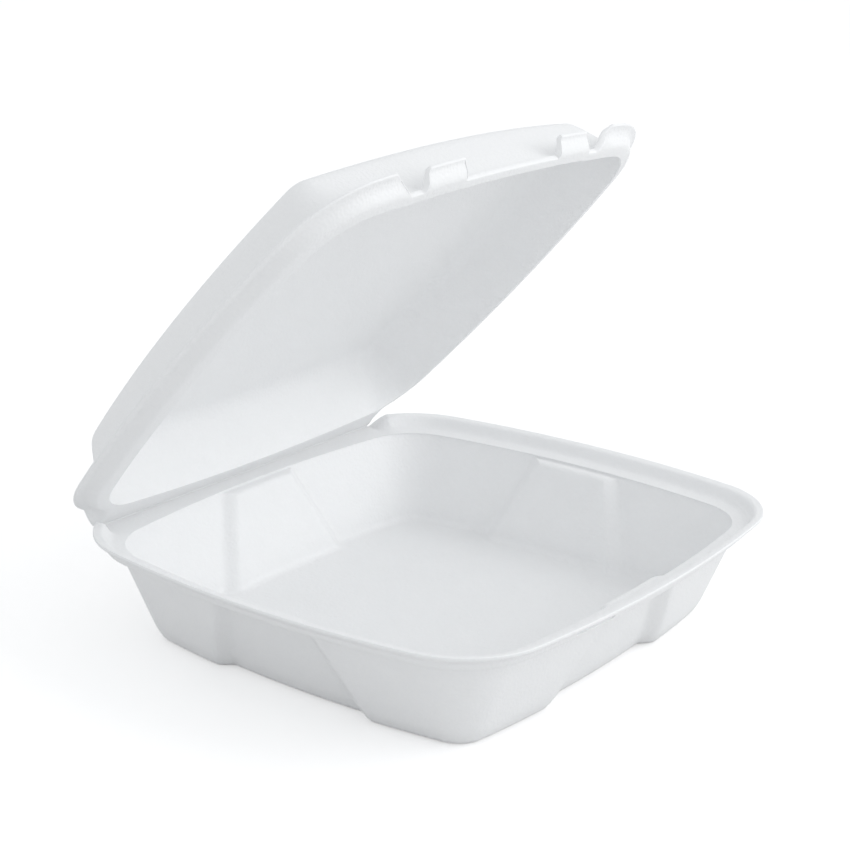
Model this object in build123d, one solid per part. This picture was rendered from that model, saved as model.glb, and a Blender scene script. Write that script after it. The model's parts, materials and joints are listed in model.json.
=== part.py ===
from build123d import *
from math import atan2, cos, hypot, sin, sqrt
import os

os.makedirs("parts", exist_ok=True)

# A hinged take-out box, thermoformed as one sheet of foam: a tray, a lid, and a
# living hinge along the back rim.  Millimetres, +Z up, front at -Y, and the origin
# in the middle of the tray's underside.  Both shells are drawn with the lid shut,
# and the lid is then swung open about the hinge.

# Rim outline, seen from above
overall_width = 240.0      # across the bowed sides
overall_depth = 227.0      # across the bowed front and back
side_bow = 12.0            # how far each side bows out past its corner
front_bow = 9.8
rim_corner_radius = 40.0

# Sheet and clearances
sheet = 2.3                # foam thickness
fit_gap = 0.3              # air between the lid and the tray when shut
edge_gap = 0.4             # the same air at the lid's outermost edge
lip_edge = 1.6             # height of the squared outer edge of the lip

# Tray
tray_height = 48.0         # underside of the floor to the top of the lip
lip_rise = 6.3             # the lip stands this far above the ledge
lip_width = 6.4            # outer edge to the foot of the lip
ledge_width = 6.7          # foot of the lip to the inner edge of the rim
ledge_fall = 1.0           # the ledge slopes down towards the cavity
foot_inset = 24.2          # wall inset just above the rounded floor edge
floor_edge = 5.6           # size of the rounded edge round the floor

# Recessed middle panel of each tray wall, wider at the floor
panel_depth = 5.0
panel_top_half = 17.0
panel_foot_half = 34.0
panel_step_run = 7.0       # width of the sloping step at each end
panel_drop = 1.2           # the shelf over each panel lies this far below the ledge

# Lid
lid_rise = 23.4            # top of the tray lip to the top of the roof
lid_wall_top_inset = 18.0  # wall inset just below the rounded roof edge
lid_wall_foot_inset = 10.6
lid_corner_radius = 14.0
roof_edge = 7.5            # size of the rounded edge round the roof
lid_open_angle = 47.0      # degrees open at rest, 0 is shut

# Hinge
hinge_setback = 4.0        # back of the bowed outline to the score line
hinge_end_inset = 30.5     # side of the bowed outline to the end of the score line
lip_clear = 0.8            # the lip stops this far outside each end of the hinge
hinge_bead_radius = 1.0    # rolled bead of foam along the score line

# Front catches: two tabs on the lid, two slots in the tray's lip
tab_centre = 42.5
tab_width = 22.0
tab_thickness = 2.1        # a tab is pressed a little thinner than the sheet
tab_gap = 0.8              # side clearance of a tab in its slot
tab_tip_gap = 0.6          # tip of a tab to the bridge of foam over its slot
slot_gap_under = 0.6       # floor of a slot to the tab
slot_gap_over = 1.1        # tab to the top of its slot
flange_pocket = 12.5       # side of a tab to the whole corner of the lid's flange
trim_ledge = 4.0           # ledge left on the lid's front between the tabs

# Worked out from the above
rim_top = tray_height
ledge_z = rim_top - lip_rise
rim_width = lip_width + ledge_width
half_side = overall_width / 2 - side_bow
half_front = overall_depth / 2 - front_bow
side_radius = (half_front ** 2 + side_bow ** 2) / (2 * side_bow)
front_radius = (half_side ** 2 + front_bow ** 2) / (2 * front_bow)
side_centre = overall_width / 2 - side_radius
front_centre = overall_depth / 2 - front_radius
wall_top_inset = rim_width - sheet
wall_top_z = ledge_z - sheet
lip_foot_z = ledge_z + ledge_fall
lip_top_inset = sheet / 2
shelf_z = ledge_z - panel_drop
lid_ledge_z = ledge_z + fit_gap
lid_lip_foot_z = lid_ledge_z + ledge_fall
roof_top = rim_top + lid_rise
hinge_y = overall_depth / 2 - hinge_setback
hinge_z = ledge_z + fit_gap / 2
hinge_half_length = overall_width / 2 - hinge_end_inset
strip_start = hinge_y - rim_width
strip_end = hinge_y - fit_gap
slot_half = tab_width / 2 + tab_gap
slot_floor = lid_lip_foot_z - slot_gap_under
slot_top = lid_lip_foot_z + tab_thickness + slot_gap_over
corner_flange_start = tab_centre + tab_width / 2 + flange_pocket
front_y = -overall_depth / 2
far = overall_width + overall_depth


def outline(inset, corner_radius, z):
    """Closed wire of the bowed, round-cornered outline, moved in by inset."""
    side = side_radius - inset
    front = front_radius - inset
    from_side = side - corner_radius
    from_front = front - corner_radius
    span = hypot(side_centre, front_centre)
    along = (from_side ** 2 - from_front ** 2 + span ** 2) / (2 * span)
    across = sqrt(from_side ** 2 - along ** 2)
    ux, uy = -side_centre / span, front_centre / span
    cx = side_centre + ux * along - uy * across
    cy = uy * along + ux * across
    if cx < 0 or cy < 0:
        cx = side_centre + ux * along + uy * across
        cy = uy * along - ux * across
    start = atan2(cy, cx - side_centre)
    end = atan2(cy - front_centre, cx)
    middle = (start + end) / 2

    def corner_point(angle, sx, sy):
        return (sx * (cx + corner_radius * cos(angle)), sy * (cy + corner_radius * sin(angle)), z)

    def corner_arc(sx, sy, first, last):
        ends = corner_point(first, sx, sy), corner_point(last, sx, sy)
        return ThreePointArc(ends[0], corner_point(middle, sx, sy), ends[1])

    right = (side_centre + side, 0, z)
    back = (0, front_centre + front, z)
    left = (-right[0], 0, z)
    front_mid = (0, -back[1], z)
    return Wire([
        ThreePointArc(corner_point(start, 1, -1), right, corner_point(start, 1, 1)),
        corner_arc(1, 1, start, end),
        ThreePointArc(corner_point(end, 1, 1), back, corner_point(end, -1, 1)),
        corner_arc(-1, 1, end, start),
        ThreePointArc(corner_point(start, -1, 1), left, corner_point(start, -1, -1)),
        corner_arc(-1, -1, start, end),
        ThreePointArc(corner_point(end, -1, -1), front_mid, corner_point(end, 1, -1)),
        corner_arc(1, -1, end, start),
    ])


def stack(rings):
    """Solid through a list of (inset, corner radius, z) rings, from the bottom up."""
    return Solid.make_loft([outline(inset, radius, z) for inset, radius, z in rings], True)


def block(x0, x1, y0, y1, z0, z1):
    return Pos((x0 + x1) / 2, (y0 + y1) / 2, (z0 + z1) / 2) * Box(x1 - x0, y1 - y0, z1 - z0)


def rim_radius(inset):
    return rim_corner_radius - inset


def side_panel(half, along_x, sign, inset_to_face, top_z, bottom_z):
    """Wedge in front of one wall's middle: its flat face is the panel, and its ends slope."""
    reach = rim_width + foot_inset
    ratio = panel_step_run / panel_depth

    def corners(push):
        points = []
        for z, width, turn in ((bottom_z, panel_foot_half, 1), (top_z, panel_top_half, -1)):
            distance = half - wall_inset(z) - inset_to_face + push
            for end in (-turn, turn):
                across = end * (width + ratio * push)
                if along_x:
                    points.append((sign * distance, across, z))
                else:
                    points.append((across, sign * distance, z))
        return Wire.make_polygon(points, close=True)

    return Solid.make_loft([corners(0), corners(reach)], True)


def wall_inset(z):
    """Inset of a tray wall's outer face at height z."""
    share = (z - floor_edge) / (wall_top_z - floor_edge)
    return foot_inset + (wall_top_inset - foot_inset) * share


def panels(inset_to_face, top_z, bottom_z):
    wedges = []
    for sign in (-1, 1):
        wedges.append(side_panel(overall_width / 2, True, sign, inset_to_face, top_z, bottom_z))
        wedges.append(side_panel(overall_depth / 2, False, sign, inset_to_face, top_z, bottom_z))
    return wedges


def back_trim(z0):
    """What is cut from a rim along the hinge: all beyond the score line, and the lip."""
    beyond = block(-far, far, strip_end, far, 0, far)
    lip_half = hinge_half_length + lip_clear
    lip = block(-lip_half, lip_half, strip_start, far, z0, far)
    return [beyond, lip]


# Tray
tray_outside = stack([
    (foot_inset + floor_edge, rim_radius(foot_inset + floor_edge), 0),
    (foot_inset, rim_radius(foot_inset), floor_edge),
    (wall_top_inset, rim_radius(wall_top_inset), wall_top_z),
    (lip_width - sheet / 2, rim_radius(lip_width - sheet / 2), lip_foot_z - sheet),
    (0, rim_radius(0), rim_top - lip_edge),
    (0, rim_radius(0), rim_top),
])
tray_cavity = stack([
    (foot_inset + floor_edge + sheet / 2, rim_radius(foot_inset + floor_edge + sheet / 2), sheet),
    (foot_inset + sheet, rim_radius(foot_inset + sheet), floor_edge + sheet / 2),
    (rim_width, rim_radius(rim_width), ledge_z),
    (lip_width, rim_radius(lip_width), lip_foot_z),
    (lip_top_inset, rim_radius(lip_top_inset), rim_top),
    (lip_top_inset, rim_radius(lip_top_inset), rim_top + sheet),
])
for wedge in panels(panel_depth, shelf_z - sheet, -sheet):
    tray_outside = tray_outside - wedge
for wedge in panels(panel_depth + sheet, shelf_z, 0):
    tray_cavity = tray_cavity - wedge
tray = tray_outside - tray_cavity
for cut in back_trim(ledge_z):
    tray = tray - cut
tray_strip = block(
    -hinge_half_length, hinge_half_length, strip_start, strip_end, ledge_z - sheet, ledge_z)
tray = tray + tray_strip
bead = Pos(0, hinge_y, hinge_z) * Rot(0, 90, 0) * Cylinder(hinge_bead_radius, 2 * hinge_half_length)
tray = tray + bead

# Slots through the front lip, each under a bridge of foam
slot_back_y = front_y + lip_width + sheet
for side in (-1, 1):
    x = side * tab_centre
    slot = block(x - slot_half, x + slot_half, front_y - sheet, slot_back_y, slot_floor, slot_top)
    tray = tray - slot

# Lid, drawn shut on the tray
flange_under = stack([
    (rim_width, rim_radius(rim_width), lid_ledge_z),
    (lip_width + fit_gap, rim_radius(lip_width + fit_gap), lid_lip_foot_z),
    (lip_top_inset + fit_gap, rim_radius(lip_top_inset + fit_gap), rim_top + fit_gap),
    (0, rim_radius(0), rim_top + edge_gap),
    (0, rim_radius(0), rim_top + lip_edge + fit_gap),
])
flange_over = stack([
    (rim_width, rim_radius(rim_width), lid_ledge_z + sheet),
    (lip_width + sheet / 2, rim_radius(lip_width + sheet / 2), lid_lip_foot_z + sheet),
    (sheet, rim_radius(sheet), rim_top + lip_edge + fit_gap),
    (sheet, rim_radius(sheet), rim_top + lip_edge + sheet),
])
dome = stack([
    (lid_wall_foot_inset, rim_radius(lid_wall_foot_inset), lid_ledge_z + sheet / 2),
    (lid_wall_top_inset, lid_corner_radius, roof_top - roof_edge),
    (lid_wall_top_inset + roof_edge, lid_corner_radius - roof_edge, roof_top),
])
dome_cavity = stack([
    (rim_width, rim_radius(rim_width), lid_ledge_z - sheet),
    (rim_width, rim_radius(rim_width), lid_ledge_z),
    (lid_wall_top_inset + sheet, lid_corner_radius - sheet / 2, roof_top - roof_edge - sheet / 2),
    (lid_wall_top_inset + roof_edge + sheet / 2, lid_corner_radius - roof_edge, roof_top - sheet),
])
lid = flange_under - flange_over
for cut in back_trim(lid_ledge_z + sheet):
    lid = lid - cut
lid_strip = block(
    -hinge_half_length, hinge_half_length, strip_start, strip_end, lid_ledge_z, lid_ledge_z + sheet)
lid = lid + dome + lid_strip

# The front of the flange is trimmed back to the wall between its two corners
trim_inset = rim_width - trim_ledge
kept = stack([
    (trim_inset, rim_radius(trim_inset), lid_ledge_z - sheet),
    (trim_inset, rim_radius(trim_inset), roof_top),
])
trim_floor = lid_ledge_z - sheet
trimmed = block(-corner_flange_start, corner_flange_start, -far, 0, trim_floor, roof_top) - kept
lid = lid - trimmed

# Tabs reach from the wall into the slots, under the bridges
lip_slope = (lip_width - lip_top_inset) / (rim_top - lip_foot_z)
tip_inset = lip_top_inset + (rim_top - slot_top) * lip_slope + tab_tip_gap
tab_plate = stack([
    (tip_inset, rim_radius(tip_inset), lid_lip_foot_z),
    (tip_inset, rim_radius(tip_inset), lid_lip_foot_z + tab_thickness),
])
for side in (-1, 1):
    x = side * tab_centre
    band = block(x - tab_width / 2, x + tab_width / 2, -far, front_y + rim_width, 0, roof_top)
    lid = lid + (tab_plate & band)
lid = lid - dome_cavity
lid = lid - Pos(0, hinge_y, hinge_z) * Rot(0, 90, 0) * Cylinder(hinge_bead_radius + fit_gap, far)

hinge_axis = Axis((0, hinge_y, hinge_z), (-1, 0, 0))
lid = lid.rotate(hinge_axis, lid_open_angle)

for name, piece in (("tray", tray), ("lid", lid)):
    print(name, len(piece.solids()), "solid, valid:", piece.is_valid)
    export_step(piece, f"parts/{name}.step")
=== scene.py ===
import json
import math

import bmesh
import bpy
from mathutils import Matrix, Vector


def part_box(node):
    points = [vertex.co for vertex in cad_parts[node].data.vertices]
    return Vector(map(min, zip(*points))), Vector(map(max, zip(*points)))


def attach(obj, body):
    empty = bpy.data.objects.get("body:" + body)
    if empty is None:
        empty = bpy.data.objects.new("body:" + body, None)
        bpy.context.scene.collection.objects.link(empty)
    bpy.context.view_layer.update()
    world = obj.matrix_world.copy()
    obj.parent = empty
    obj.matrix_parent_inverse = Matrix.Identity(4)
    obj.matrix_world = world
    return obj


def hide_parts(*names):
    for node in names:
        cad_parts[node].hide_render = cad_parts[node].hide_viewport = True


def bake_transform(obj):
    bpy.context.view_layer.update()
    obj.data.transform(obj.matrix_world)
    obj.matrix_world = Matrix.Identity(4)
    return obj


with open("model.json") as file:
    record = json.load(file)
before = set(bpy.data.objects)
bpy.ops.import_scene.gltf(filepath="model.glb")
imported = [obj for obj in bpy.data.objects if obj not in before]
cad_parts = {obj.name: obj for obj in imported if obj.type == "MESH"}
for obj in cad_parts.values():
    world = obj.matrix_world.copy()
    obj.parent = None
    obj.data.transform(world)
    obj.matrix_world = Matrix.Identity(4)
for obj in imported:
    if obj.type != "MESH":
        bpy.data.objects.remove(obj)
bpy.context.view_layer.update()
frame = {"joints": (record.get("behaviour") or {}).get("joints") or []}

# places that the frame gives
trayLow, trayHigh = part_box("tray")
lidHinge = frame["joints"][0]
hingePoint = Vector(lidHinge["pos_m"])
lidAngle = math.radians(-lidHinge["range_deg"][0])
halfWidth = trayHigh.x
halfDepth = -trayLow.y
rimTop = trayHigh.z

# the outline that every ring of the tray and the lid follows, in metres
outline = {
    "cornerRadius": 0.040,
    "sideBow": 0.012,
    "frontBow": 0.0098,
    "columnStep": 0.0017,
    "hingeHalf": 0.0895,
    "hingeEnd": 0.0060,
    "stripEndBack": 0.0003,
    "underMargin": 0.0008,
    "overMargin": 0.0010,
}

rim = {
    "sheet": 0.0023,
    "lipRise": 0.0063,
    "lipWidth": 0.0064,
    "ledgeWidth": 0.0067,
    "ledgeFall": 0.0010,
    "lipEdge": 0.0016,
    "crownInset": 0.0037,
    "crownFall": 0.0006,
    "crownUnder": 0.0040,
    "crownRound": 0.0011,
    "lipFootRound": 0.0018,
    "edgeRound": 0.0007,
    "fitGap": 0.0003,
}

ledgeZ = rimTop - rim["lipRise"]
rimWidth = rim["lipWidth"] + rim["ledgeWidth"]
stripEnd = hingePoint.y - outline["stripEndBack"]

halfSide = halfWidth - outline["sideBow"]
halfFront = halfDepth - outline["frontBow"]
sideRadius = (halfFront ** 2 + outline["sideBow"] ** 2) / (2 * outline["sideBow"])
frontRadius = (halfSide ** 2 + outline["frontBow"] ** 2) / (2 * outline["frontBow"])
sideCentre = halfWidth - sideRadius
frontCentre = halfDepth - frontRadius


def cornerCircle(inset, radius):
    # centre of the corner arc, and the angles where it meets the side and the front
    fromSide = sideRadius - inset - radius
    fromFront = frontRadius - inset - radius
    span = math.hypot(sideCentre, frontCentre)
    along = (fromSide ** 2 - fromFront ** 2 + span ** 2) / (2 * span)
    across = math.sqrt(fromSide ** 2 - along ** 2)
    ux, uy = -sideCentre / span, frontCentre / span
    cx, cy = sideCentre + ux * along - uy * across, uy * along + ux * across
    if cx < 0 or cy < 0:
        cx, cy = sideCentre + ux * along + uy * across, uy * along - ux * across
    return cx, cy, math.atan2(cy, cx - sideCentre), math.atan2(cy - frontCentre, cx)


def quarterPoint(s, inset, radius, circle):
    # s runs 0 to 1 along the side, 1 to 2 round the corner, 2 to 3 along the front
    cx, cy, first, last = circle
    if s < 1:
        angle = first * s
        reach = sideRadius - inset
        return sideCentre + reach * math.cos(angle), reach * math.sin(angle), angle
    if s < 2:
        angle = first + (last - first) * (s - 1)
        return cx + radius * math.cos(angle), cy + radius * math.sin(angle), angle
    angle = last + (math.pi / 2 - last) * (s - 2)
    reach = frontRadius - inset
    return reach * math.cos(angle), frontCentre + reach * math.sin(angle), angle


rimCircle = cornerCircle(0, outline["cornerRadius"])


def rimPlace(s):
    return quarterPoint(s, 0, outline["cornerRadius"], rimCircle)


def alongAtX(x):
    # the place along a quarter where the rim is at that x
    low, high = 0.5, 3.0
    for halving in range(50):
        middle = (low + high) / 2
        if rimPlace(middle)[0] > x:
            low = middle
        else:
            high = middle
    return (low + high) / 2


def quarterSteps(stops):
    # even steps along a quarter of the rim, and one more at each stop
    places = set()
    for arc in range(3):
        a, b = rimPlace(arc), rimPlace(arc + 0.999)
        length = math.hypot(b[0] - a[0], b[1] - a[1])
        count = max(4, round(length / outline["columnStep"]))
        for k in range(count):
            places.add(arc + k / count)
    places.add(3.0)
    kept = sorted(alongAtX(x) for x in stops)
    clear = 0.35 * outline["columnStep"] / halfDepth
    free = [s for s in places if s in (0, 3.0) or all(abs(s - k) > clear for k in kept)]
    return sorted(set(free + kept))


def makeColumns(backStops, frontStops):
    # every column round the rim: mirror signs, place along its quarter, x on the rim
    back, front = quarterSteps(backStops), quarterSteps(frontStops)
    columns = [(1, 1, s) for s in back]
    columns += [(-1, 1, s) for s in reversed(back[:-1])]
    columns += [(-1, -1, s) for s in front[1:]]
    columns += [(1, -1, s) for s in reversed(front[1:-1])]
    return [(sx, sy, s, sx * rimPlace(s)[0]) for sx, sy, s in columns]


def ringAt(columns, inset, radius, z):
    circle = cornerCircle(inset, radius)
    ring = []
    for sx, sy, s, rimX in columns:
        x, y, angle = quarterPoint(s, inset, radius, circle)
        ring.append(Vector((sx * x, sy * y, z)))
    return ring


def outwardAt(columns):
    ways = []
    for sx, sy, s, rimX in columns:
        angle = rimPlace(s)[2]
        ways.append(Vector((sx * math.cos(angle), sy * math.sin(angle), 0)))
    return ways


def smoothStep(a, b, value):
    share = min(1, max(0, (value - a) / (b - a)))
    return share * share * (3 - 2 * share)


def hingeShare(rimX):
    # 1 along the hinge, falling to 0 past each end of it
    end = outline["hingeHalf"]
    return 1 - smoothStep(end, end + outline["hingeEnd"], abs(rimX))


def roundedPath(corners, steps=5):
    # a path of (inset, z, rounding) corners as points, each corner turned into an arc
    points = []
    for k, (inset, z, rounding) in enumerate(corners):
        here = Vector((inset, z))
        if rounding == 0 or k == 0 or k == len(corners) - 1:
            points.append(here)
            continue
        before = Vector(corners[k - 1][:2]) - here
        after = Vector(corners[k + 1][:2]) - here
        cut = min(rounding, before.length * 0.49, after.length * 0.49)
        a = here + before.normalized() * cut
        b = here + after.normalized() * cut
        for j in range(steps + 1):
            t = j / steps
            points.append((1 - t) ** 2 * a + 2 * t * (1 - t) * here + t * t * b)
    return points


def spreadPath(points, longest):
    # more points on the straight stretches
    spread = [points[0]]
    for a, b in zip(points, points[1:]):
        count = max(1, math.ceil((b - a).length / longest))
        for k in range(1, count + 1):
            spread.append(a.lerp(b, k / count))
    return spread


def heightOn(path, inset):
    # height of a path at an inset, where its insets fall from first to last
    for a, b in zip(path, path[1:]):
        if b.x <= inset <= a.x and a.x - b.x > 1e-9:
            return a.y + (b.y - a.y) * (a.x - inset) / (a.x - b.x)
    return path[0].y if inset > path[0].x else path[-1].y


def shellMesh(name, rings, material):
    # closed mesh through rings that start and end at a centre point
    bm = bmesh.new()
    rows = [[bm.verts.new(p) for p in ring] for ring in rings]
    for low, high in zip(rows, rows[1:]):
        count = max(len(low), len(high))
        for k in range(count):
            j = (k + 1) % count
            if len(low) == 1:
                bm.faces.new((low[0], high[j], high[k]))
            elif len(high) == 1:
                bm.faces.new((low[k], low[j], high[0]))
            else:
                bm.faces.new((low[k], low[j], high[j], high[k]))
    bmesh.ops.recalc_face_normals(bm, faces=bm.faces)
    mesh = bpy.data.meshes.new(name)
    bm.to_mesh(mesh)
    bm.free()
    mesh.materials.append(material)
    piece = bpy.data.objects.new(name, mesh)
    bpy.context.scene.collection.objects.link(piece)
    return piece


def smoothShade(piece, degrees=38):
    piece.data.shade_smooth()
    piece.data.set_sharp_from_angle(angle=math.radians(degrees))


def bakeModifiers(piece):
    # the evaluated shape becomes the piece's own plain mesh
    bpy.context.view_layer.update()
    graph = bpy.context.evaluated_depsgraph_get()
    baked = bpy.data.meshes.new_from_object(piece.evaluated_get(graph))
    baked.name = piece.name
    piece.modifiers.clear()
    piece.data = baked
    return piece


# foam: one grain group, placed in each foam material with its own values
def grainGroup():
    group = bpy.data.node_groups.new("foamGrain", "ShaderNodeTree")
    interface = group.interface
    for label, value in (("Bead size", 900.0), ("Depth", 0.3), ("Mottle and bead shade", 0.02), ("Roughness", 0.5)):
        socket = interface.new_socket(label, in_out="INPUT", socket_type="NodeSocketFloat")
        socket.default_value = value
    tint = interface.new_socket("Tint", in_out="INPUT", socket_type="NodeSocketColor")
    tint.default_value = (0.93, 0.935, 0.94, 1)
    interface.new_socket("Color", in_out="OUTPUT", socket_type="NodeSocketColor")
    interface.new_socket("Roughness", in_out="OUTPUT", socket_type="NodeSocketFloat")
    interface.new_socket("Normal", in_out="OUTPUT", socket_type="NodeSocketVector")
    nodes, links = group.nodes, group.links
    given = nodes.new("NodeGroupInput")
    result = nodes.new("NodeGroupOutput")
    place = nodes.new("ShaderNodeTexCoord")
    beads = nodes.new("ShaderNodeTexVoronoi")
    beads.feature = "SMOOTH_F1"
    beads.inputs["Smoothness"].default_value = 0.6
    links.new(place.outputs["Object"], beads.inputs["Vector"])
    links.new(given.outputs["Bead size"], beads.inputs["Scale"])
    cloud = nodes.new("ShaderNodeTexNoise")
    cloud.inputs["Scale"].default_value = 60
    cloud.inputs["Detail"].default_value = 3
    links.new(place.outputs["Object"], cloud.inputs["Vector"])
    swell = nodes.new("ShaderNodeTexNoise")
    swell.inputs["Scale"].default_value = 28
    swell.inputs["Detail"].default_value = 1
    links.new(place.outputs["Object"], swell.inputs["Vector"])
    # height: the beads and a slow swell
    height = nodes.new("ShaderNodeMath")
    height.operation = "MULTIPLY_ADD"
    height.inputs[1].default_value = 2.5
    links.new(swell.outputs["Fac"], height.inputs[0])
    links.new(beads.outputs["Distance"], height.inputs[2])
    bump = nodes.new("ShaderNodeBump")
    bump.inputs["Distance"].default_value = 0.0004
    links.new(given.outputs["Depth"], bump.inputs["Strength"])
    links.new(height.outputs[0], bump.inputs["Height"])
    links.new(bump.outputs["Normal"], result.inputs["Normal"])
    # colour: a faint cloudiness, and a little painted shade between the beads
    shade = nodes.new("ShaderNodeMath")
    shade.operation = "MULTIPLY_ADD"
    shade.inputs[1].default_value = 0.6
    links.new(beads.outputs["Distance"], shade.inputs[0])
    links.new(cloud.outputs["Fac"], shade.inputs[2])
    darker = nodes.new("ShaderNodeMath")
    darker.operation = "MULTIPLY"
    links.new(shade.outputs[0], darker.inputs[0])
    links.new(given.outputs["Mottle and bead shade"], darker.inputs[1])
    keep = nodes.new("ShaderNodeMath")
    keep.operation = "SUBTRACT"
    keep.inputs[0].default_value = 1
    links.new(darker.outputs[0], keep.inputs[1])
    toned = nodes.new("ShaderNodeVectorMath")
    toned.operation = "SCALE"
    links.new(given.outputs["Tint"], toned.inputs[0])
    links.new(keep.outputs[0], toned.inputs["Scale"])
    links.new(toned.outputs[0], result.inputs["Color"])
    rough = nodes.new("ShaderNodeMath")
    rough.operation = "MULTIPLY_ADD"
    rough.inputs[1].default_value = 0.18
    links.new(cloud.outputs["Fac"], rough.inputs[0])
    links.new(given.outputs["Roughness"], rough.inputs[2])
    links.new(rough.outputs[0], result.inputs["Roughness"])
    return group


foamGrain = grainGroup()

# mottle sets both the faint cloudiness and the painted shade between the beads
foamFinish = {
    "trayFoam": {"tint": (0.93, 0.935, 0.94), "beadSize": 800, "depth": 0.34,
                 "mottleAndBeadShade": 0.02, "roughness": 0.36},
    "lidFoam": {"tint": (0.93, 0.935, 0.94), "beadSize": 800, "depth": 0.34,
                "mottleAndBeadShade": 0.02, "roughness": 0.36},
    # the crease's tint is lighter than the other foam: a painted highlight that also lifts the shade in
    # the fold; its lower roughness is the crushed foam's own
    "creaseFoamPaintedHighlight": {"tint": (0.95, 0.955, 0.96), "beadSize": 1500, "depth": 0.35,
                   "mottleAndBeadShade": 0.03, "roughness": 0.3},
}


def foamMaterial(name):
    finish = foamFinish[name]
    material = bpy.data.materials.new(name)
    material.use_nodes = True
    nodes, links = material.node_tree.nodes, material.node_tree.links
    foam = nodes["Principled BSDF"]
    grain = nodes.new("ShaderNodeGroup")
    grain.node_tree = foamGrain
    grain.inputs["Tint"].default_value = (*finish["tint"], 1)
    grain.inputs["Bead size"].default_value = finish["beadSize"]
    grain.inputs["Depth"].default_value = finish["depth"]
    grain.inputs["Mottle and bead shade"].default_value = finish["mottleAndBeadShade"]
    grain.inputs["Roughness"].default_value = finish["roughness"]
    links.new(grain.outputs["Color"], foam.inputs["Base Color"])
    links.new(grain.outputs["Roughness"], foam.inputs["Roughness"])
    links.new(grain.outputs["Normal"], foam.inputs["Normal"])
    foam.inputs["Specular IOR Level"].default_value = 0.5
    foam.inputs["Subsurface Weight"].default_value = 0.12
    foam.inputs["Subsurface Radius"].default_value = (0.003, 0.003, 0.003)
    foam.inputs["Subsurface Scale"].default_value = 1.0
    return material


trayFoam = foamMaterial("trayFoam")
lidFoam = foamMaterial("lidFoam")
# the crease material carries a lighter tint as painted highlight
creaseFoamPaintedHighlight = foamMaterial("creaseFoamPaintedHighlight")
print("materials made")

# tray
tray = {
    "footInset": 0.0242,
    "floorEdge": 0.0056,
    "floorRound": 0.0065,
    "floorRings": ((0.93, 0.55), (0.8, 0.0), (0.6, 0.0), (0.35, 0.0)),  # size and press
    "wallStart": 0.012,
    "wallStep": 0.0030,
    "panelDepth": 0.0050,
    "panelTopHalf": 0.0170,
    "panelFootHalf": 0.0340,
    "panelRun": 0.0070,
    "panelDrop": 0.0012,
    "shelfInner": 0.0016,
    "shelfOuter": 0.0009,
}

wallTopInset = rimWidth - rim["sheet"]
wallTopZ = ledgeZ - rim["sheet"]


def wallInset(z):
    share = (z - tray["floorEdge"]) / (wallTopZ - tray["floorEdge"])
    return tray["footInset"] + (wallTopInset - tray["footInset"]) * share


def shelfRows(shelfZ):
    # heights and press, upwards, over the rounded shelf at the head of a panel
    inner, outer, depth = tray["shelfInner"], tray["shelfOuter"], tray["panelDepth"]
    rows = []
    for k in range(6):
        turn = math.pi / 2 * k / 5
        press = (depth - inner * (1 - math.cos(turn))) / depth
        rows.append((shelfZ - inner + inner * math.sin(turn), press))
    for share in (0.75, 0.5, 0.25):
        flat = outer + share * (depth - inner - outer)
        rows.append((shelfZ + 0.00002 / share, flat / depth))
    for k in range(5):
        turn = math.pi / 2 * k / 4
        rows.append((shelfZ + 0.0001 + outer * (1 - math.cos(turn)), outer * (1 - math.sin(turn)) / depth))
    return rows


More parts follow.
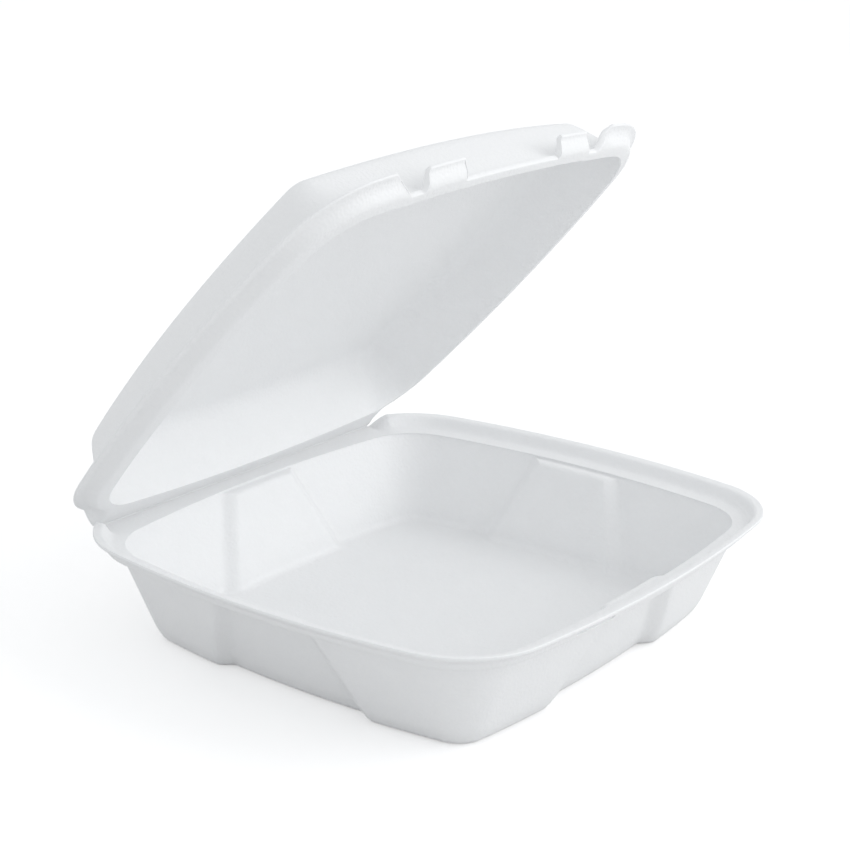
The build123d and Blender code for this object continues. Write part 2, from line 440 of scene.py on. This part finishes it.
def buildTray():
    stops = []
    for share in (0, 0.15, 0.3, 0.5, 0.7, 0.85, 1):
        stops.append(outline["hingeHalf"] + share * outline["hingeEnd"])
    columns = makeColumns(stops, [])
    sheet, lip, foot = rim["sheet"], rim["lipWidth"], tray["footInset"]
    lipFoot = ledgeZ + rim["ledgeFall"]
    shelf = ledgeZ - tray["panelDrop"]
    # each row: inset, height, press of the panels, share of the flange, height of the flange at the hinge
    rows = []
    footArc = roundedPath([
        (foot + tray["floorEdge"] + 0.003, 0, 0),
        (foot + tray["floorEdge"] - 0.0022, 0, 0.0045),
        (foot, tray["floorEdge"], 0.003),
        (wallInset(tray["wallStart"]), tray["wallStart"], 0),
    ], 6)
    for p in footArc:
        rows.append((p.x, p.y, 1, None, 0))
    z = tray["wallStart"]
    while z < shelf - sheet - tray["shelfInner"] - tray["wallStep"]:
        z += tray["wallStep"]
        rows.append((wallInset(z), z, 1, None, 0))
    for z, press in shelfRows(shelf - sheet):
        rows.append((wallInset(z), z, press, None, 0))
    # under the ledge and the lip, round the edge, and back over them to the wall
    flange = roundedPath([
        (wallInset(wallTopZ - 0.0004), wallTopZ - 0.0004, 0),
        (wallTopInset - 0.0006, wallTopZ + 0.0002, 0.0008),
        (lip - sheet / 2, lipFoot - sheet, rim["lipFootRound"]),
        (rim["crownInset"], rimTop - rim["crownUnder"], 0.0012),
        (0.0004, rimTop - rim["lipEdge"] - 0.0002, rim["edgeRound"]),
        (0, rimTop - rim["lipEdge"] + 0.0006, 0),
        (0, rimTop, rim["edgeRound"]),
        (rim["crownInset"], rimTop - rim["crownFall"], rim["crownRound"]),
        (lip, lipFoot, rim["lipFootRound"]),
        (rimWidth, ledgeZ, 0.0012),
        (wallInset(shelf + tray["shelfOuter"]) + sheet, shelf + tray["shelfOuter"] + 0.0001, 0),
    ], 5)
    flange = spreadPath(flange, 0.0018)
    underEnd = wallTopInset - outline["underMargin"]
    overEnd = rimWidth - outline["overMargin"]
    topStart = next(k for k, p in enumerate(flange) if p.y > rimTop - 0.0009)
    for k, p in enumerate(flange):
        outer = k < topStart
        share = min(1, max(0, (rimWidth - p.x) / rimWidth))
        flat = ledgeZ - sheet if outer else ledgeZ
        if p.x < (underEnd if outer else overEnd):
            rows.append((p.x, p.y, 0, share, flat))
        else:
            rows.append((p.x, p.y, 0, None, 0))
    for z, press in reversed(shelfRows(shelf)[:-1]):
        rows.append((wallInset(z) + sheet, z, press, None, 0))
    z = shelf - tray["shelfInner"]
    while z - tray["wallStep"] > sheet + tray["floorRound"]:
        z -= tray["wallStep"]
        rows.append((wallInset(z) + sheet, z, 1, None, 0))
    floorIn = foot + sheet + tray["floorEdge"] - 0.001
    bottom = roundedPath([
        (wallInset(z) + sheet, z, 0),
        (wallInset(sheet) + sheet - 0.001, sheet, tray["floorRound"]),
        (floorIn + 0.008, sheet, 0),
    ], 8)[1:]
    for p in bottom:
        rows.append((p.x, p.y, 1, None, 0))
    rings, presses = [], []
    first = rows[0]
    last = rows[-1]
    outsideFloor = ringAt(columns, first[0], outline["cornerRadius"] - first[0], first[1])
    rings.append([Vector((0, 0, first[1]))])
    presses.append([0.0])
    for share, press in reversed(tray["floorRings"]):
        rings.append([Vector((p.x * share, p.y * share, p.z)) for p in outsideFloor])
        presses.append([press] * len(columns))
    for inset, z, press, share, flat in rows:
        ring = ringAt(columns, inset, outline["cornerRadius"] - inset, z)
        if share is not None:
            inner = ringAt(columns, rimWidth, outline["cornerRadius"] - rimWidth, z)
            for k, (sx, sy, s, rimX) in enumerate(columns):
                if sy < 0:
                    continue
                strip = hingeShare(rimX)
                if strip > 0 and s > 1:
                    y = inner[k].y + share * (stripEnd - inner[k].y)
                    ring[k] = ring[k].lerp(Vector((ring[k].x, y, flat)), strip)
        rings.append(ring)
        presses.append([press] * len(columns))
    insideFloor = ringAt(columns, last[0], outline["cornerRadius"] - last[0], last[1])
    for share, press in tray["floorRings"]:
        rings.append([Vector((p.x * share, p.y * share, p.z)) for p in insideFloor])
        presses.append([press] * len(columns))
    rings.append([Vector((0, 0, last[1]))])
    presses.append([0.0])
    piece = shellMesh("foamTray", rings, trayFoam)
    outward = outwardAt(columns)
    press = piece.data.attributes.new("press", "FLOAT", "POINT")
    ways = piece.data.attributes.new("outward", "FLOAT_VECTOR", "POINT")
    k = 0
    for ring, values in zip(rings, presses):
        for j in range(len(ring)):
            press.data[k].value = values[j]
            ways.data[k].vector = outward[j] if len(ring) > 1 else (0, 0, 0)
            k += 1
    return piece


def panelTree(material):
    # presses one tapered panel into the middle of each wall
    group = bpy.data.node_groups.new("pressPanels", "GeometryNodeTree")
    group.interface.new_socket("Geometry", in_out="INPUT", socket_type="NodeSocketGeometry")
    for label in ("Depth", "Top half width", "Foot half width", "Step run", "Shelf height"):
        group.interface.new_socket(label, in_out="INPUT", socket_type="NodeSocketFloat")
    group.interface.new_socket("Geometry", in_out="OUTPUT", socket_type="NodeSocketGeometry")
    nodes, links = group.nodes, group.links
    given, result = nodes.new("NodeGroupInput"), nodes.new("NodeGroupOutput")

    def reckon(operation, a, b=None):
        node = nodes.new("ShaderNodeMath")
        node.operation = operation
        for slot, value in ((0, a), (1, b)):
            if isinstance(value, (int, float)):
                node.inputs[slot].default_value = value
            elif value is not None:
                links.new(value, node.inputs[slot])
        return node.outputs[0]

    place = nodes.new("GeometryNodeInputPosition")
    at = nodes.new("ShaderNodeSeparateXYZ")
    links.new(place.outputs[0], at.inputs[0])
    outward = nodes.new("GeometryNodeInputNamedAttribute")
    outward.data_type = "FLOAT_VECTOR"
    outward.inputs["Name"].default_value = "outward"
    way = nodes.new("ShaderNodeSeparateXYZ")
    links.new(outward.outputs["Attribute"], way.inputs[0])
    press = nodes.new("GeometryNodeInputNamedAttribute")
    press.data_type = "FLOAT"
    press.inputs["Name"].default_value = "press"
    # across is the distance from the middle of the wall that this point belongs to
    wayX, wayY = reckon("ABSOLUTE", way.outputs["X"]), reckon("ABSOLUTE", way.outputs["Y"])
    onSide = reckon("GREATER_THAN", wayX, wayY)
    across = nodes.new("ShaderNodeMix")
    links.new(onSide, across.inputs["Factor"])
    links.new(reckon("ABSOLUTE", at.outputs["X"]), across.inputs["A"])
    links.new(reckon("ABSOLUTE", at.outputs["Y"]), across.inputs["B"])
    half = nodes.new("ShaderNodeMapRange")
    links.new(at.outputs["Z"], half.inputs["Value"])
    links.new(given.outputs["Shelf height"], half.inputs["From Max"])
    links.new(given.outputs["Foot half width"], half.inputs["To Min"])
    links.new(given.outputs["Top half width"], half.inputs["To Max"])
    step = nodes.new("ShaderNodeMapRange")
    step.interpolation_type = "SMOOTHSTEP"
    links.new(across.outputs["Result"], step.inputs["Value"])
    links.new(half.outputs["Result"], step.inputs["From Min"])
    links.new(reckon("ADD", half.outputs["Result"], given.outputs["Step run"]), step.inputs["From Max"])
    step.inputs["To Min"].default_value = 1
    step.inputs["To Max"].default_value = 0
    amount = reckon("MULTIPLY", reckon("MULTIPLY", step.outputs["Result"], press.outputs["Attribute"]),
                   reckon("MULTIPLY", given.outputs["Depth"], -1))
    push = nodes.new("ShaderNodeVectorMath")
    push.operation = "SCALE"
    links.new(outward.outputs["Attribute"], push.inputs[0])
    links.new(amount, push.inputs["Scale"])
    move = nodes.new("GeometryNodeSetPosition")
    links.new(given.outputs["Geometry"], move.inputs["Geometry"])
    links.new(push.outputs[0], move.inputs["Offset"])
    whole = nodes.new("GeometryNodeRealizeInstances")
    links.new(move.outputs[0], whole.inputs[0])
    finish = nodes.new("GeometryNodeSetMaterial")
    finish.inputs["Material"].default_value = material
    links.new(whole.outputs[0], finish.inputs["Geometry"])
    links.new(finish.outputs[0], result.inputs["Geometry"])
    return group


def pressPanels(piece, material):
    tree = panelTree(material)
    values = {
        "Depth": tray["panelDepth"],
        "Top half width": tray["panelTopHalf"],
        "Foot half width": tray["panelFootHalf"],
        "Step run": tray["panelRun"],
        "Shelf height": ledgeZ - tray["panelDrop"],
    }
    modifier = piece.modifiers.new("pressPanels", "NODES")
    modifier.node_group = tree
    for item in tree.interface.items_tree:
        if item.in_out == "INPUT" and item.name in values:
            modifier[item.identifier] = values[item.name]
    bakeModifiers(piece)
    for name in ("press", "outward"):
        piece.data.attributes.remove(piece.data.attributes[name])


# catches at the front: slots through the tray's lip, tabs on the lid
catches = {
    "tabCentre": 0.0425,
    "tabWidth": 0.0220,
    "tabReach": 0.0023,
    "tabRootIn": 0.0008,
    "tabRootOut": 0.0040,
    "tabGap": 0.0008,
    "slotLow": 0.0007,
    "slotHeight": 0.0038,
    "slotMiddleIn": 0.003,
    "slotRun": 0.016,
    "trimInset": 0.0091,
    "cutStart": 0.062,
    "cutEnd": 0.071,
}


def cutSlots(piece):
    height = catches["slotHeight"]
    middleZ = ledgeZ + catches["slotLow"] + height / 2
    half = catches["tabWidth"] / 2 + catches["tabGap"]
    cutter = bmesh.new()
    for side in (-1, 1):
        middle = (side * catches["tabCentre"], -halfDepth + catches["slotMiddleIn"], middleZ)
        place = Matrix.Translation(middle)
        size = Matrix.Diagonal((2 * half, catches["slotRun"], height, 1))
        bmesh.ops.create_cube(cutter, size=1, matrix=place @ size)
    mesh = bpy.data.meshes.new("slotCutter")
    cutter.to_mesh(mesh)
    cutter.free()
    mesh.materials.append(trayFoam)
    block = bpy.data.objects.new("slotCutter", mesh)
    bpy.context.scene.collection.objects.link(block)
    modifier = piece.modifiers.new("slots", "BOOLEAN")
    modifier.operation = "DIFFERENCE"
    modifier.solver = "EXACT"
    modifier.object = block
    bakeModifiers(piece)
    bpy.data.objects.remove(block)


foamTray = buildTray()
pressPanels(foamTray, trayFoam)
cutSlots(foamTray)
smoothShade(foamTray)
print("tray made", len(foamTray.data.polygons), "faces")

# lid, drawn shut and then swung open about the hinge
lid = {
    "rise": 0.0234,
    "wallTopInset": 0.0180,
    "wallFootInset": 0.0106,
    "cornerRadius": 0.014,
    "leastRadius": 0.005,
    "roofEdge": 0.0195,
    "roofCornerIn": 0.0030,
    "roofRoundIn": 0.0070,
    "roofCornerOut": 0.0050,
    "roofRoundOut": 0.0095,
    "wallFootRise": 0.0012,
    "edgeGap": 0.0004,
    "wallStep": 0.0025,
    "roofRings": (0.94, 0.8, 0.6, 0.35),
}


def flangeEdge(rimX, sy):
    # inset of the lid's outer edge at that place on the rim
    x = abs(rimX)
    if sy > 0 or x > catches["cutEnd"]:
        return 0
    if x > catches["cutStart"]:
        return catches["trimInset"] * (catches["cutEnd"] - x) / (catches["cutEnd"] - catches["cutStart"])
    fromTab = abs(x - catches["tabCentre"]) - catches["tabWidth"] / 2
    root = catches["tabRootOut"] if x > catches["tabCentre"] else catches["tabRootIn"]
    side = smoothStep(-root / 2, root / 2, fromTab)
    return catches["tabReach"] + (catches["trimInset"] - catches["tabReach"]) * side


def buildLid():
    stops = [outline["hingeHalf"] + share * outline["hingeEnd"] for share in (0, 0.2, 0.5, 0.8, 1)]
    half = catches["tabWidth"] / 2
    front = [catches["cutStart"], catches["cutEnd"]]
    for side in (-half, half):
        inward = -1 if side > 0 else 1
        root = catches["tabRootOut"] if side > 0 else catches["tabRootIn"]
        for share in (-0.5, -0.35, -0.2, 0, 0.2, 0.35, 0.5):
            front.append(catches["tabCentre"] + side + inward * share * root)
    columns = makeColumns(stops, front)
    sheet, lip = rim["sheet"], rim["lipWidth"]
    ledge = ledgeZ + rim["fitGap"]
    foot = ledge + rim["ledgeFall"]
    roofTop = rimTop + lid["rise"]
    edgeTop = rimTop + rim["lipEdge"] + rim["fitGap"]
    underPath = roundedPath([
        (rimWidth, ledge, 0),
        (lip + rim["fitGap"], foot, 0.002),
        (rim["crownInset"] + rim["fitGap"], rimTop - rim["crownFall"] + rim["fitGap"], rim["crownRound"]),
        (0, rimTop + lid["edgeGap"], 0),
        (-0.004, rimTop + lid["edgeGap"], 0),
    ], 6)
    overPath = roundedPath([
        (rimWidth, ledge + sheet, 0),
        (lip + sheet / 2 + 0.0008, foot + sheet, 0.002),
        (rim["crownInset"] + 0.0010, edgeTop - 0.0004, 0.0012),
        (-0.004, edgeTop, 0),
    ], 6)
    edgeRound = rim["edgeRound"]

    def flangeRing(share, over, turn=None):
        # share runs from the wall to the outer edge; turn rounds the edge itself
        ring = []
        path = overPath if over else underPath
        inner = lid["wallFootInset"] if over else rimWidth
        innerRadius = outline["cornerRadius"] - inner
        innerCircle = cornerCircle(inner, innerRadius)
        fold = 0
        if turn is not None:
            fold = (-1 if over else 1) * edgeRound * (1 - math.cos(turn))
        circles = {}
        for sx, sy, s, rimX in columns:
            edge = flangeEdge(rimX, sy)
            if turn is None:
                inset = inner + share * (edge + edgeRound - inner)
                z = heightOn(path, inset)
            else:
                inset = edge + edgeRound * (1 - math.sin(turn))
                z = heightOn(path, edge + edgeRound) + fold
            key = round(inset, 6)
            if key not in circles:
                circles[key] = cornerCircle(inset, outline["cornerRadius"] - inset)
            x, y, angle = quarterPoint(s, inset, outline["cornerRadius"] - inset, circles[key])
            point = Vector((sx * x, sy * y, z))
            if sy > 0 and s > 1:
                strip = hingeShare(rimX)
                if strip > 0:
                    innerY = quarterPoint(s, inner, innerRadius, innerCircle)[1]
                    reach = (inner - inset) / inner
                    flatZ = ledge + (sheet if over else 0) + fold
                    target = Vector((point.x, innerY + reach * (stripEnd - innerY), flatZ))
                    point = point.lerp(target, strip)
            ring.append(point)
        return ring

    wallTop = lid["wallTopInset"]
    roofInset = wallTop + lid["roofEdge"]
    domeInside = roundedPath([
        (rimWidth, ledge + lid["wallFootRise"], 0),
        (wallTop + sheet + lid["roofCornerIn"], roofTop - sheet, lid["roofRoundIn"]),
        (roofInset, roofTop - sheet, 0),
    ], 8)
    domeOutside = roundedPath([
        (lid["wallFootInset"] + 0.0004, ledge + sheet + lid["wallFootRise"], 0),
        (wallTop + lid["roofCornerOut"], roofTop, lid["roofRoundOut"]),
        (roofInset, roofTop, 0),
    ], 8)

    def domeRing(p, wallFoot):
        # corners turn sharper towards the roof
        share = min(1, max(0, (p.x - wallFoot) / (wallTop - wallFoot)))
        radius = (outline["cornerRadius"] - wallFoot) * (1 - share) + lid["cornerRadius"] * share
        radius = max(lid["leastRadius"], radius - max(0, p.x - wallTop))
        return ringAt(columns, p.x, radius, p.y)

    rings = []
    inside = spreadPath(domeInside, lid["wallStep"])
    outside = spreadPath(domeOutside, lid["wallStep"])
    centre = domeRing(inside[-1], rimWidth)
    rings.append([Vector((0, 0, inside[-1].y))])
    for share in reversed(lid["roofRings"]):
        rings.append([Vector((p.x * share, p.y * share, p.z)) for p in centre])
    for p in reversed(inside):
        rings.append(domeRing(p, rimWidth))
    for share in (0.04, 0.12, 0.25, 0.38, 0.44, 0.5, 0.56, 0.64, 0.76, 0.87, 0.92, 0.97, 1):
        rings.append(flangeRing(share, False))
    for k in range(1, 5):
        rings.append(flangeRing(1, False, math.pi / 2 * k / 4))
    for k in range(3, -1, -1):
        rings.append(flangeRing(1, True, math.pi / 2 * k / 4))
    for share in (0.93, 0.85, 0.75, 0.62, 0.5, 0.4, 0.3, 0.2, 0.1, 0.03):
        rings.append(flangeRing(share, True))
    for p in outside:
        rings.append(domeRing(p, lid["wallFootInset"]))
    crown = domeRing(outside[-1], lid["wallFootInset"])
    for share in lid["roofRings"]:
        rings.append([Vector((p.x * share, p.y * share, p.z)) for p in crown])
    rings.append([Vector((0, 0, outside[-1].y))])
    swing = Matrix.Rotation(lidAngle, 4, Vector((-1, 0, 0)))
    opened = Matrix.Translation(hingePoint) @ swing @ Matrix.Translation(-hingePoint)
    return shellMesh("foamLid", [[opened @ p for p in ring] for ring in rings], lidFoam)


foamLid = buildLid()
smoothShade(foamLid)
print("lid made", len(foamLid.data.polygons), "faces")

# living hinge: the crushed foam along the score line, drawn in a lighter tint that is painted highlight
crease = {
    "inner": 0.00025,
    "outer": 0.00100,
    "lengthStep": 0.0030,
    "endRound": 0.0006,
    "endThin": 0.6,
    "wrap": 82,
    "turns": 14,
    "blendHalf": 0.0008,
}


def buildCrease():
    # a rolled strip round the hinge axis, from the tray's edge to the lid's edge
    first = -math.radians(crease["wrap"])
    last = math.radians(crease["wrap"]) - lidAngle
    section = []
    turns = crease["turns"]
    for k in range(turns + 1):
        angle = first + (last - first) * k / turns
        section.append((crease["outer"], angle))
    for k in range(turns + 1):
        angle = last + (first - last) * k / turns
        section.append((crease["inner"], angle))
    half = outline["hingeHalf"]
    count = round(2 * half / crease["lengthStep"])
    rings = []
    for k in range(count + 1):
        x = -half + 2 * half * k / count
        end = min(1, (half - abs(x)) / crease["endRound"])
        ring = []
        for radius, angle in section:
            full = crease["endThin"] + (1 - crease["endThin"]) * end
            grown = crease["inner"] + (radius - crease["inner"]) * full
            y = hingePoint.y + grown * math.cos(angle)
            z = hingePoint.z + grown * math.sin(angle)
            ring.append(Vector((x, y, z)))
        rings.append(ring)
    low = sum(rings[0], Vector()) / len(rings[0])
    high = sum(rings[-1], Vector()) / len(rings[-1])
    return shellMesh("hingeCrease", [[low]] + rings + [[high]], creaseFoamPaintedHighlight)


hingeCrease = buildCrease()
smoothShade(hingeCrease)
print("crease made")

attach(foamTray, "tray")
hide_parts("tray")
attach(foamLid, "lid")
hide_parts("lid")
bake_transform(hingeCrease)

# floor, light and camera
studio = {
    "floorSize": 8.0,
    "floorTint": (0.80, 0.80, 0.80),
    "floorLift": 0.37,
    "worldTint": (0.97, 0.985, 1.0),
    "worldStrength": 0.81,
}


def buildFloor():
    bm = bmesh.new()
    bmesh.ops.create_grid(bm, x_segments=1, y_segments=1, size=studio["floorSize"] / 2)
    mesh = bpy.data.meshes.new("floor")
    bm.to_mesh(mesh)
    bm.free()
    floor = bpy.data.objects.new("floor", mesh)
    bpy.context.scene.collection.objects.link(floor)
    material = bpy.data.materials.new("paleFloor")
    material.use_nodes = True
    nodes, links = material.node_tree.nodes, material.node_tree.links
    nodes.clear()
    output = nodes.new("ShaderNodeOutputMaterial")
    matte = nodes.new("ShaderNodeBsdfDiffuse")
    matte.inputs["Color"].default_value = (*studio["floorTint"], 1)
    glow = nodes.new("ShaderNodeEmission")
    rays = nodes.new("ShaderNodeLightPath")
    lift = nodes.new("ShaderNodeMath")
    lift.operation = "MULTIPLY"
    lift.inputs[1].default_value = studio["floorLift"]
    links.new(rays.outputs["Is Camera Ray"], lift.inputs[0])
    links.new(lift.outputs[0], glow.inputs["Strength"])
    both = nodes.new("ShaderNodeAddShader")
    links.new(matte.outputs[0], both.inputs[0])
    links.new(glow.outputs[0], both.inputs[1])
    links.new(both.outputs[0], output.inputs["Surface"])
    mesh.materials.append(material)


def buildWorld():
    world = bpy.data.worlds.new("studioWorld")
    bpy.context.scene.world = world
    world.use_nodes = True
    nodes, links = world.node_tree.nodes, world.node_tree.links
    nodes.clear()
    output = nodes.new("ShaderNodeOutputWorld")
    soft, white = nodes.new("ShaderNodeBackground"), nodes.new("ShaderNodeBackground")
    soft.inputs["Color"].default_value = (*studio["worldTint"], 1)
    soft.inputs["Strength"].default_value = studio["worldStrength"]
    white.inputs["Color"].default_value = (1, 1, 1, 1)
    rays, seen = nodes.new("ShaderNodeLightPath"), nodes.new("ShaderNodeMath")
    seen.operation = "MAXIMUM"
    links.new(rays.outputs["Is Camera Ray"], seen.inputs[0])
    links.new(rays.outputs["Is Transmission Ray"], seen.inputs[1])
    mix = nodes.new("ShaderNodeMixShader")
    links.new(seen.outputs[0], mix.inputs[0])
    links.new(soft.outputs[0], mix.inputs[1])
    links.new(white.outputs[0], mix.inputs[2])
    links.new(mix.outputs[0], output.inputs["Surface"])


lamps = {
    "keyLamp": {"place": (0.7, -1.0, 0.8), "aim": (0, 0, 0.08), "size": 0.9,
                "power": 5.2, "colour": (1, 1, 1)},
    "fillLamp": {"place": (0.1, -1.25, 0.5), "aim": (0, 0, 0.1), "size": 0.6,
                 "power": 0.9, "colour": (0.97, 0.985, 1)},
}


def areaLamp(name, place, aim, size, power, colour):
    light = bpy.data.lights.new(name, "AREA")
    light.size = size
    light.energy = power
    light.color = colour
    lamp = bpy.data.objects.new(name, light)
    lamp.location = place
    lamp.rotation_euler = (Vector(aim) - Vector(place)).to_track_quat("-Z", "Y").to_euler()
    bpy.context.scene.collection.objects.link(lamp)


camera = {
    "target": (0.00471, 0.00956, 0.08457),
    "azimuth": -52.5577,
    "elevation": 18.0786,
    "roll": 0.8425,
    "distance": 0.81873,
    "lens": 83.273,
}


def buildCamera():
    azimuth, elevation = math.radians(camera["azimuth"]), math.radians(camera["elevation"])
    roll = math.radians(camera["roll"])
    level = math.cos(elevation)
    back = Vector((math.sin(azimuth) * level, -math.cos(azimuth) * level, math.sin(elevation)))
    right = Vector((math.cos(azimuth), math.sin(azimuth), 0))
    up = back.cross(right)
    rolledRight = right * math.cos(roll) + up * math.sin(roll)
    rolledUp = up * math.cos(roll) - right * math.sin(roll)
    place = Vector(camera["target"]) + back * camera["distance"]
    data = bpy.data.cameras.new("camera")
    data.lens = camera["lens"]
    data.sensor_width = 36
    eye = bpy.data.objects.new("camera", data)
    turned = Matrix((rolledRight, rolledUp, back)).transposed().to_4x4()
    eye.matrix_world = Matrix.Translation(place) @ turned
    bpy.context.scene.collection.objects.link(eye)
    bpy.context.scene.camera = eye


buildFloor()
buildWorld()
for name, values in lamps.items():
    areaLamp(name, **values)
buildCamera()
bpy.context.scene.view_settings.view_transform = "Standard"
print("studio made")
